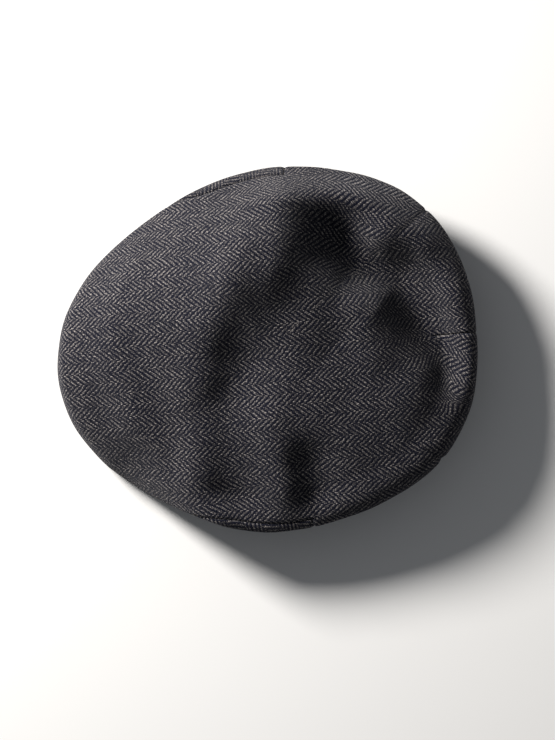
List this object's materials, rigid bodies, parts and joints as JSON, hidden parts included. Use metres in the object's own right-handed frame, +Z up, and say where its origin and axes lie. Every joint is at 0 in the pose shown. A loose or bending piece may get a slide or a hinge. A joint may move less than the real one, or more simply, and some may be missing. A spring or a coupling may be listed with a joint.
{
  "type": "flat cap",
  "caption": "Soft flat cap in herringbone wool: one-piece crown sewn to a short stiffened peak, bias-cut side strips, darted back, satin lining and sweatband.",
  "frame": {"origin": "centre of the head opening, in the plane that the headband's lower edge rests on", "axes": "+Z up through the crown, -Y towards the peak, +X towards the wearer's left"},
  "size_m": [0.2481, 0.2855, 0.083],
  "materials": {
    "tweed": "herringbone wool, matt, slightly hairy",
    "lining": "satin",
    "sweatband": "cotton twill, matt",
    "tape": "ribbed ribbon, low sheen",
    "canvas": "open canvas, matt",
    "board": "matt moulded sheet",
    "label": "woven damask, low sheen",
    "ribbon": "printed-tape satin, blank",
    "thread": "spun polyester thread"
  },
  "bodies": {
    "root": {"crown_top": "tweed", "side_panel_left": "tweed", "side_panel_right": "tweed", "peak_upper_cover": "tweed", "peak_under_cover": "tweed", "lining_crown": "lining", "lining_side_left": "lining", "lining_side_right": "lining", "peak_board": "board", "crown_interlining": "canvas", "headband_tape": "tape", "sweatband": "sweatband", "sweatband_binding": "tape", "sweatband_stitches": "thread", "maker_label": "label", "maker_label_stitches": "thread", "size_label": "ribbon", "care_label": "ribbon"}
  },
  "joints": []
}
